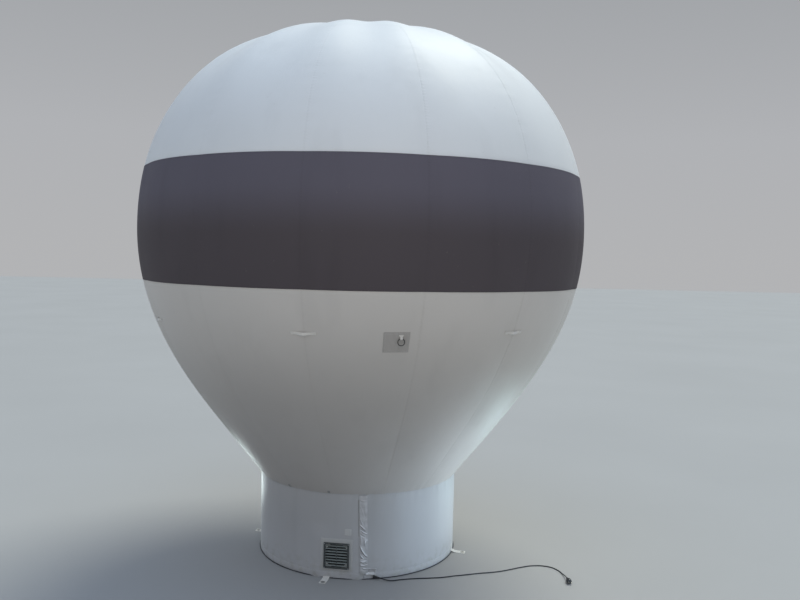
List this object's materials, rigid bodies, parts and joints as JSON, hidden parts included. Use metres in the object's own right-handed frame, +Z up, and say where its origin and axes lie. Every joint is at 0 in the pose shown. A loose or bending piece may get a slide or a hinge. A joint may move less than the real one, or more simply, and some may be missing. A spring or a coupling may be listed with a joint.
{
  "type": "ground-standing advertising balloon",
  "caption": "Air-filled advertising balloon in a hot-air-balloon shape: sewn gores with a dark middle band on a round skirt, with a blower behind a louvred air inlet.",
  "frame": {"origin": "on the ground at the middle of the base", "axes": "+Z up the balloon's axis; -Y is the front, where the zip flap is; +X to the right of a viewer in front"},
  "size_m": [3.53, 3.53, 4.2],
  "materials": {
    "white_cloth": "coated ripstop polyester, satin",
    "dark_cloth": "coated ripstop polyester, satin",
    "lower_cloth": "coated ripstop polyester, satin, lets some light through",
    "trim_cloth": "doubled coated polyester",
    "webbing": "flat woven polyester webbing",
    "hem_rope": "braided cord",
    "grille_plastic": "moulded, fine grain",
    "blower_case": "moulded",
    "ring_steel": "zinc plated",
    "plug_rubber": "moulded, matt",
    "lead_sheath": "smooth rubber sheath"
  },
  "bodies": {
    "balloon": {"dome_gore_01": "white_cloth", "dome_gore_02": "white_cloth", "dome_gore_03": "white_cloth", "dome_gore_04": "white_cloth", "dome_gore_05": "white_cloth", "dome_gore_06": "white_cloth", "dome_gore_07": "white_cloth", "dome_gore_08": "white_cloth", "dome_gore_09": "white_cloth", "dome_gore_10": "white_cloth", "dome_gore_11": "white_cloth", "dome_gore_12": "white_cloth", "dome_gore_13": "white_cloth", "dome_gore_14": "white_cloth", "band": "dark_cloth", "lower_gore_01": "lower_cloth", "lower_gore_02": "lower_cloth", "lower_gore_03": "lower_cloth", "lower_gore_04": "lower_cloth", "lower_gore_05": "lower_cloth", "lower_gore_06": "lower_cloth", "lower_gore_07": "lower_cloth", "lower_gore_08": "lower_cloth", "lower_gore_09": "lower_cloth", "lower_gore_10": "lower_cloth", "lower_gore_11": "lower_cloth", "lower_gore_12": "lower_cloth", "lower_gore_13": "lower_cloth", "lower_gore_14": "lower_cloth", "crown_disc": "white_cloth", "skirt_right": "lower_cloth", "skirt_left": "lower_cloth", "base_floor": "lower_cloth", "hem_rope": "hem_rope", "inlet_patch": "trim_cloth", "inlet_grille": "grille_plastic", "inlet_duct": "grille_plastic", "blower": "blower_case", "zip_flap": "trim_cloth", "webbing_loop_1": "webbing", "webbing_loop_2": "webbing", "webbing_loop_3": "webbing", "webbing_loop_4": "webbing", "webbing_loop_5": "webbing", "webbing_loop_6": "webbing", "webbing_loop_7": "webbing", "tether_patch": "lower_cloth", "tether_tab": "webbing", "anchor_tab_1": "webbing", "anchor_tab_2": "webbing", "anchor_tab_3": "webbing", "anchor_tab_4": "webbing", "cord_boot": "plug_rubber", "mains_lead": "lead_sheath", "mains_plug": "plug_rubber"},
    "fan": {"fan_wheel": "grille_plastic"},
    "ring": {"tether_ring": "ring_steel"}
  },
  "joints": [
    {"name": "fan_spin", "type": "hinge", "parent": "balloon", "child": "fan", "pos_m": [-0.14129, -0.74064, 0.177], "axis": [-0.1874, -0.9823, 0], "continuous": true},
    {"name": "ring_swing", "type": "hinge", "parent": "balloon", "child": "ring", "pos_m": [0.25066, -1.62328, 1.88286], "axis": [-0.9883, -0.1526, 0], "range_deg": [-15, 150]}
  ]
}
